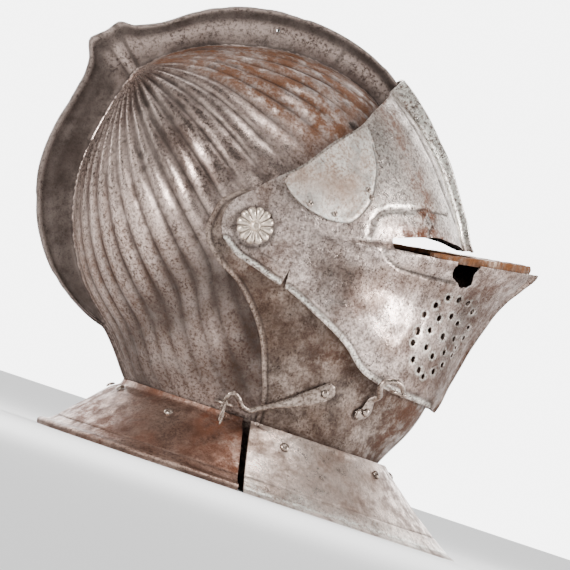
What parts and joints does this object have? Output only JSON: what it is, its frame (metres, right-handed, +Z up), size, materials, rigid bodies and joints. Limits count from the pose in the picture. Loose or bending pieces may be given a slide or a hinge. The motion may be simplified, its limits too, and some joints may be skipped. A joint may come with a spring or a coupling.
{
  "type": "close helmet",
  "caption": "Close helmet with a fluted bowl and tall cusped comb, pointed visor with breath holes, turning chin piece, flared neck plates and side hooks.",
  "frame": {"origin": "centre of the bounding box at the level of the lower rims, where the helmet stands", "axes": "+X towards the front of the helmet, +Y towards the wearer's left, +Z up"},
  "size_m": [0.3358, 0.244, 0.2962],
  "materials": {
    "steel_skull": "aged steel, dark hollows and worn ridges",
    "steel_neck": "aged steel with a reddish brown patina",
    "steel_neck_front": "aged steel, light grey brown",
    "steel_chin": "aged steel, mottled brown grey",
    "steel_visor": "aged steel, light grey and pitted",
    "steel_rust": "rusted steel",
    "steel_patch": "aged steel, pale",
    "steel_bright": "polished steel",
    "steel_hook": "polished steel wire and leaf"
  },
  "bodies": {
    "skull": {"skull": "steel_skull", "gorget_rear": "steel_neck", "pivot_right": "steel_bright", "pivot_left": "steel_bright", "hook_staple": "steel_hook", "hanging_pin": "steel_hook", "gorget_rear_rivet_right_1": "steel_hook", "gorget_rear_rivet_right_2": "steel_hook", "gorget_rear_rivet_left_1": "steel_hook", "gorget_rear_rivet_left_2": "steel_hook"},
    "bevor": {"bevor": "steel_chin", "gorget_front": "steel_neck_front", "hook_long_rivet": "steel_hook", "hook_front_rivet": "steel_hook", "gorget_front_rivet_right_1": "steel_hook", "gorget_front_rivet_right_2": "steel_hook", "gorget_front_rivet_left_1": "steel_hook", "gorget_front_rivet_left_2": "steel_hook", "gorget_front_rivet_middle_3": "steel_hook"},
    "visor": {"visor": "steel_visor", "sight_ledge": "steel_rust", "visor_patch": "steel_patch", "visor_staple": "steel_hook", "patch_rivet_1": "steel_hook", "patch_rivet_2": "steel_hook", "patch_rivet_3": "steel_hook", "patch_rivet_4": "steel_hook"},
    "hook_long": {"hook_long": "steel_hook"},
    "hook_front": {"hook_front": "steel_hook"}
  },
  "joints": [
    {"name": "bevor_hinge", "type": "hinge", "parent": "skull", "child": "bevor", "pos_m": [-0.046, 0, 0.16], "axis": [0, -1, 0], "range_deg": [0, 35]},
    {"name": "visor_hinge", "type": "hinge", "parent": "bevor", "child": "visor", "pos_m": [-0.046, 0, 0.16], "axis": [0, -1, 0], "range_deg": [0, 65]},
    {"name": "hook_long_hinge", "type": "hinge", "parent": "bevor", "child": "hook_long", "pos_m": [0.03441, -0.08155, 0.07491], "axis": [-0.3138, 0.9358, 0.1606], "range_deg": [0, 24]},
    {"name": "hook_front_hinge", "type": "hinge", "parent": "bevor", "child": "hook_front", "pos_m": [0.0662, -0.06473, 0.07248], "axis": [0.4776, -0.8405, -0.2558], "range_deg": [0, 40]}
  ]
}
